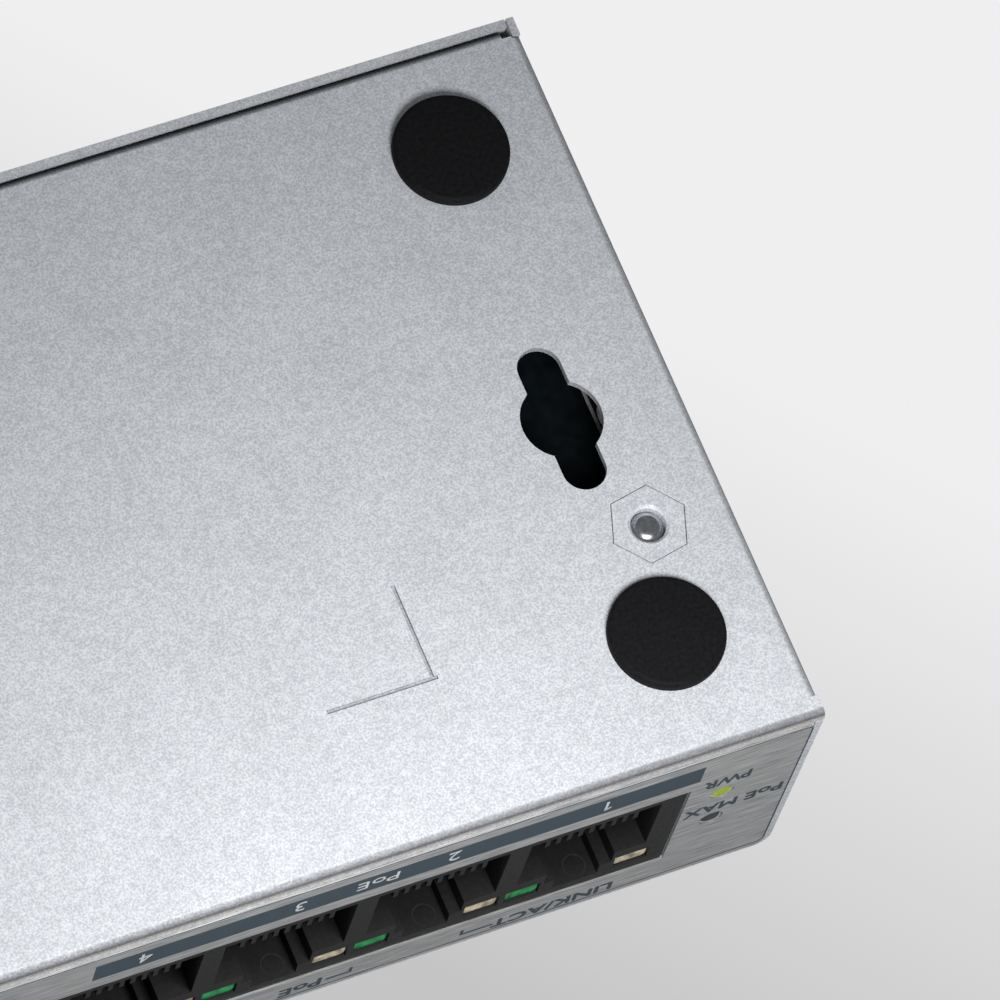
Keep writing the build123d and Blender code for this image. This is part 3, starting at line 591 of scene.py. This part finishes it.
class PrintFront(bpy.types.Operator):
    """Prints the number bar, the port numbers, the lamps' names and their rules, and a dark line as painted
    shadow along the film's edge.
    """

    bl_idname = "network_switch.print_front"
    bl_label = "Print the front"

    def execute(self, context):
        front = context.scene.switch_front
        slate = speckled("slate_ink", front.slate, 0.45, 0.0006, contrast=0.10, gloss_level=0.08)
        white = speckled("white_ink", front.white, 0.5, 0.0006, contrast=0.06, gloss_level=0.1)
        over = 2 * front.ink
        tray_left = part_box("base_tray")[0].x
        bar = bmesh.new()
        print_box(bar, front.bar_left, front.bar_right, front.bar_low, front.bar_high, front.ink)
        finish_shape(bar, "number_bar", slate)
        bar_middle = (front.bar_low + front.bar_high) / 2
        for number in PORTS:
            x = jack_middle(number) - tray_left
            on_bar = x < front.bar_right
            print_word(
                f"port_number_{number}", str(number), x, bar_middle, front.number_height,
                white if on_bar else slate, over if on_bar else front.ink,
            )
        self.print_flag(front, tray_left, white, over)
        print_word(
            "bar_word", "PoE", BAR_WORD_MIDDLE, bar_middle, front.word_height, white, over, wide=1.2
        )
        for name, words, x, z, wide in WORDS:
            print_word(name, words, x, z, front.word_height, slate, front.ink, wide, front.bold)
        self.print_brackets(front, slate)
        # Painted shadow along the film's edge, in the slate ink
        self.outline_film(front, slate)
        return {"FINISHED"}

    def print_brackets(self, front, ink):
        """Adds the angled rules that lead from a word to the lamps it names."""
        rules = bmesh.new()
        half = front.rule / 2
        for word_end, lamp_end in BRACKETS:
            left, right = min(word_end, lamp_end), max(word_end, lamp_end)
            print_box(rules, left, right, WORD_ROW - half, WORD_ROW + half, front.ink)
            if lamp_end > word_end:
                left = right - front.rule
            else:
                right = left + front.rule
            print_box(rules, left, right, BRACKET_FOOT, WORD_ROW - half, front.ink)
        finish_shape(rules, "lamp_rules", ink)

    def print_flag(self, front, tray_left, ink, thickness):
        """Adds the short slanted stroke at the top of the number 1."""
        middle = jack_middle(1) - tray_left
        top = (front.bar_low + front.bar_high + front.number_height) / 2
        place = on_front(middle - front.flag * FLAG_SHIFT, top - front.flag * FLAG_DROP)
        size = Vector((front.flag, thickness, front.rule * FLAG_WIDTH))
        matrix = Matrix.Translation(place - Vector((0.0, thickness / 2, 0.0)))
        matrix = matrix @ Matrix.Rotation(FLAG_SLANT, 4, "Y") @ Matrix.Diagonal((*size, 1.0))
        flag = bmesh.new()
        bmesh.ops.create_cube(flag, size=1.0, matrix=matrix)
        finish_shape(flag, "number_one_flag", ink)

    def outline_film(self, front, ink):
        """Adds a dark line as painted shadow along the film's edge, with its rounded corners."""
        low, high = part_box("front_film")
        top = high.z - front.margin
        shape = bmesh.new()
        loops = []
        for inset in (0.0, front.outline):
            radius = front.corner - inset
            points = []
            for turn, (x, z) in enumerate((
                (high.x - front.corner, top - front.corner),
                (low.x + front.corner, top - front.corner),
                (low.x + front.corner, low.z + front.corner),
                (high.x - front.corner, low.z + front.corner),
            )):
                for step in range(CORNER_STEPS + 1):
                    angle = math.radians(90 * turn + 90 * step / CORNER_STEPS)
                    place = (x + radius * math.cos(angle), low.y, z + radius * math.sin(angle))
                    points.append(shape.verts.new(place))
            loops.append(points)
        outer, inner = loops
        count = len(outer)
        for i in range(count):
            after = (i + 1) % count
            shape.faces.new((outer[i], outer[after], inner[after], inner[i]))
        extrude_faces(shape, (0.0, -front.ink, 0.0))
        finish_shape(shape, "film_edge_painted_shadow", ink)


class FinishJacks(bpy.types.Operator):
    """Finishes the block of jacks, its combs, wires and lamps, and adds the mould's pin marks."""

    bl_idname = "network_switch.finish_jacks"
    bl_label = "Finish the jacks"

    def execute(self, context):
        jack = context.scene.switch_jack
        # The jacks' plastic, with painted shade deeper inside them
        plastic = speckled(
            "jack_plastic", jack.plastic, 0.5, 0.0004, contrast=0.12, relief=0.000006, gloss_level=0.12,
            painted_shade_from=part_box("port_housing")[0].y,
        )
        gold = speckled("contact_gold", jack.gold, 0.28, 0.0003, contrast=0.15, metallic=1.0)
        housings = ["port_housing", "status_lamp_holder", "dc_inlet_housing"]
        housings += [f"contact_carrier_{number}" for number in PORTS]
        dress(housings, plastic)
        dress([f"port_contacts_{number}" for number in PORTS], gold)
        dress([f"link_light_{number}" for number in PORTS], lamp_lens("cream_lens", jack.cream))
        dress([f"poe_light_{number}" for number in PORTS], lamp_lens("green_lens", jack.green))
        dress(("power_lamp",), lamp_lens("lime_lens", jack.lime, cloudy=0.15))
        dress(("poe_max_lamp",), lamp_lens("unlit_lens", jack.unlit, cloudy=0.15))
        self.mark_recesses(jack)
        return {"FINISHED"}

    def mark_recesses(self, jack):
        """Adds a ring to the roof of each latch recess, where the mould's pin pushed the block out."""
        block_low, block_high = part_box("port_housing")
        roof = block_high.z - jack.latch_roof
        tone = [PIN_MARK_TONE * channel for channel in jack.plastic]
        shape = bmesh.new()
        for number in PORTS:
            middle = jack_middle(number) - jack.mark_shift
            place = Matrix.Translation((middle, block_low.y + jack.mark_depth, roof - jack.skin))
            rings = set()
            for radius in (jack.mark_radius, jack.mark_radius - jack.mark_width):
                ring = bmesh.ops.create_circle(
                    shape, cap_ends=False, segments=32, radius=radius, matrix=place
                )
                rings.update(ring["verts"])
            edges = [edge for edge in shape.edges if set(edge.verts) <= rings]
            bmesh.ops.bridge_loops(shape, edges=edges)
        extrude_faces(shape, (0.0, 0.0, jack.skin))
        mark_material = speckled("pin_mark", tone, 0.5, 0.0004, contrast=0.12, gloss_level=0.12)
        finish_shape(shape, "recess_pin_marks", mark_material)


class FinishBoard(bpy.types.Operator):
    """Finishes the circuit board and what stands on it."""

    bl_idname = "network_switch.finish_board"
    bl_label = "Finish the board"

    def execute(self, context):
        jack = context.scene.switch_jack
        board_low, board_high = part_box("circuit_board")
        mask = speckled("solder_mask", jack.board, 0.4, 0.0012, contrast=0.3, gloss_level=0.06)
        dress(("circuit_board",), mask)
        self.bare_edges(jack, board_low.z)
        chips = ["switch_chip", "poe_controller", "input_fuse", "surge_diode"]
        chips += [f"line_transformer_{number}" for number in (1, 2, 3)]
        dress(chips, chip_epoxy(board_high.z))
        dress(("buck_inductor",), speckled("ferrite", (0.05, 0.05, 0.052), 0.6, 0.0003))
        cans = speckled("drawn_can", (0.62, 0.63, 0.65), 0.3, 0.0009, contrast=0.12, metallic=1.0)
        dress(("storage_capacitor_1", "storage_capacitor_2", "crystal"), cans)
        zinc = speckled("bright_zinc", (0.60, 0.61, 0.63), 0.24, 0.0004, contrast=0.18, metallic=1.0)
        dress(("board_screws", "cover_screws", "dc_inlet_pin", "dc_inlet_spring"), zinc)
        return {"FINISHED"}

    def bare_edges(self, jack, board_under):
        """Adds the bare laminate along the board's waists, over the keyholes."""
        tray_low, tray_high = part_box("base_tray")
        front_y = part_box("front_film")[0].y
        laminate = speckled("bare_laminate", jack.laminate, 0.55, 0.0003, contrast=0.15)
        shape = bmesh.new()
        for side in (tray_low.x, tray_high.x):
            inward = 1.0 if side < 0.0 else -1.0
            middle = Vector((
                side + inward * (jack.waist + jack.bare / 2),
                front_y + jack.keyhole_depth,
                board_under - jack.skin / 2,
            ))
            size = (jack.bare, jack.keyhole_length, jack.skin, 1.0)
            bmesh.ops.create_cube(
                shape, size=1.0, matrix=Matrix.Translation(middle) @ Matrix.Diagonal(size)
            )
        finish_shape(shape, "bare_board_edges", laminate)


def add_lamp(name, place, aim, size, energy):
    light = bpy.data.lights.new(name, type="AREA")
    light.shape = "SQUARE"
    light.size = size
    light.energy = energy
    lamp = bpy.data.objects.new(name, light)
    lamp.location = place
    lamp.rotation_euler = (Vector(aim) - Vector(place)).to_track_quat("-Z", "Y").to_euler()
    bpy.context.scene.collection.objects.link(lamp)
    return lamp


def floor_material(stage):
    """Pale floor, seen by the camera from above only, so that the underside can be lit and seen."""
    material = bpy.data.materials.new("pale_floor")
    material.use_nodes = True
    tree = material.node_tree
    shader = tree.nodes["Principled BSDF"]
    shader.inputs["Roughness"].default_value = 0.8
    mottle = add_noise(tree, 0.4)
    dark = [channel * 0.985 for channel in stage.floor]
    tree.links.new(add_ramp(tree, mottle, dark, stage.floor), shader.inputs["Base Color"])
    path = tree.nodes.new("ShaderNodeLightPath")
    face = tree.nodes.new("ShaderNodeNewGeometry")
    front = add_math(tree, "SUBTRACT", 1.0, face.outputs["Backfacing"])
    seen = add_math(tree, "MULTIPLY", path.outputs["Is Camera Ray"], front)
    clear = tree.nodes.new("ShaderNodeBsdfTransparent")
    mix = tree.nodes.new("ShaderNodeMixShader")
    tree.links.new(seen, mix.inputs[0])
    tree.links.new(clear.outputs["BSDF"], mix.inputs[1])
    tree.links.new(shader.outputs["BSDF"], mix.inputs[2])
    tree.links.new(mix.outputs["Shader"], tree.nodes["Material Output"].inputs["Surface"])
    return material


def camera_axes(stage):
    """Right, up and backward directions of the camera, from its bearing, height angle and roll."""
    backward = Vector((
        math.sin(stage.azimuth) * math.cos(stage.elevation),
        -math.cos(stage.azimuth) * math.cos(stage.elevation),
        math.sin(stage.elevation),
    ))
    level = Vector((0.0, 0.0, 1.0)).cross(backward).normalized()
    turn = Matrix.Rotation(stage.roll, 3, backward)
    right = turn @ level
    return right, backward.cross(right), backward


class SetStage(bpy.types.Operator):
    """Sets the camera, the floor, the background and the lamps."""

    bl_idname = "network_switch.set_stage"
    bl_label = "Set the stage"

    def execute(self, context):
        scene = context.scene
        stage = scene.switch_stage
        scene.view_settings.view_transform = "Standard"
        right, up, backward = camera_axes(stage)
        camera_data = bpy.data.cameras.new("photo_camera")
        camera_data.lens = stage.lens
        camera_data.sensor_width = SENSOR_WIDTH
        camera_data.clip_start = 0.01
        camera = bpy.data.objects.new("photo_camera", camera_data)
        axes = Matrix((right, up, backward)).transposed().to_4x4()
        place = Vector(stage.target) + backward * stage.distance
        camera.matrix_world = Matrix.Translation(place) @ axes
        scene.collection.objects.link(camera)
        scene.camera = camera
        self.lay_floor(scene, stage)
        # Painted shade on the background, darker towards the lower left of the picture
        self.paint_world(scene, stage, -up - right * 0.5)
        lamps = [add_lamp(*lamp) for lamp in LAMPS]
        lamps[0].visible_camera = False
        return {"FINISHED"}

    def lay_floor(self, scene, stage):
        shape = bmesh.new()
        bmesh.ops.create_grid(shape, x_segments=1, y_segments=1, size=stage.floor_size / 2)
        mesh = bpy.data.meshes.new("floor")
        shape.to_mesh(mesh)
        shape.free()
        mesh.materials.append(floor_material(stage))
        floor = bpy.data.objects.new("floor", mesh)
        scene.collection.objects.link(floor)

    def paint_world(self, scene, stage, shade_way):
        """Background with painted shade, darker in one direction of the picture, and even light for the
        rest.
        """
        world = bpy.data.worlds.new("studio")
        world.use_nodes = True
        tree = world.node_tree
        even = tree.nodes["Background"]
        even.inputs["Color"].default_value = AMBIENT_TINT
        even.inputs["Strength"].default_value = stage.ambient
        seen = tree.nodes.new("ShaderNodeBackground")
        direction = tree.nodes.new("ShaderNodeTexCoord")
        along = tree.nodes.new("ShaderNodeVectorMath")
        along.operation = "DOT_PRODUCT"
        along.inputs[1].default_value = shade_way
        tree.links.new(direction.outputs["Generated"], along.inputs[0])
        half_view = SENSOR_WIDTH / 2 / stage.lens
        fall = add_range(tree, along.outputs["Value"], 0.0, 1.0, -half_view, half_view)
        sky = add_ramp(tree, fall, stage.sky_light, stage.sky_dark, 0.25, 1.0)
        tree.links.new(sky, seen.inputs["Color"])
        path = tree.nodes.new("ShaderNodeLightPath")
        mix = tree.nodes.new("ShaderNodeMixShader")
        tree.links.new(path.outputs["Is Camera Ray"], mix.inputs[0])
        tree.links.new(even.outputs["Background"], mix.inputs[1])
        tree.links.new(seen.outputs["Background"], mix.inputs[2])
        tree.links.new(mix.outputs["Shader"], tree.nodes["World Output"].inputs["Surface"])
        scene.world = world


class SwitchPanel(bpy.types.Panel):
    """Lists the steps that finish the switch."""

    bl_idname = "VIEW3D_PT_network_switch"
    bl_label = "Network switch"
    bl_space_type = "VIEW_3D"
    bl_region_type = "UI"
    bl_category = "Switch"

    def draw(self, context):
        for step in STEPS:
            self.layout.operator(step.bl_idname)


STEPS = (SetStage, CoatCase, SoftenFeet, BrushFront, PrintFront, FinishJacks, FinishBoard)
SETTINGS = {
    "switch_case": CaseSettings,
    "switch_front": FrontSettings,
    "switch_jack": JackSettings,
    "switch_stage": StageSettings,
}


def register():
    for group in SETTINGS.values():
        bpy.utils.register_class(group)
    for name, group in SETTINGS.items():
        setattr(bpy.types.Scene, name, PointerProperty(type=group))
    for step in STEPS:
        bpy.utils.register_class(step)
    bpy.utils.register_class(SwitchPanel)


def unregister():
    bpy.utils.unregister_class(SwitchPanel)
    for step in reversed(STEPS):
        bpy.utils.unregister_class(step)
    for name in SETTINGS:
        delattr(bpy.types.Scene, name)
    for group in reversed(SETTINGS.values()):
        bpy.utils.unregister_class(group)


def main():
    register()
    bpy.ops.network_switch.set_stage()
    bpy.ops.network_switch.coat_case()
    bpy.ops.network_switch.soften_feet()
    bpy.ops.network_switch.brush_front()
    bpy.ops.network_switch.print_front()
    bpy.ops.network_switch.finish_jacks()
    bpy.ops.network_switch.finish_board()


if __name__ == "__main__":
    main()
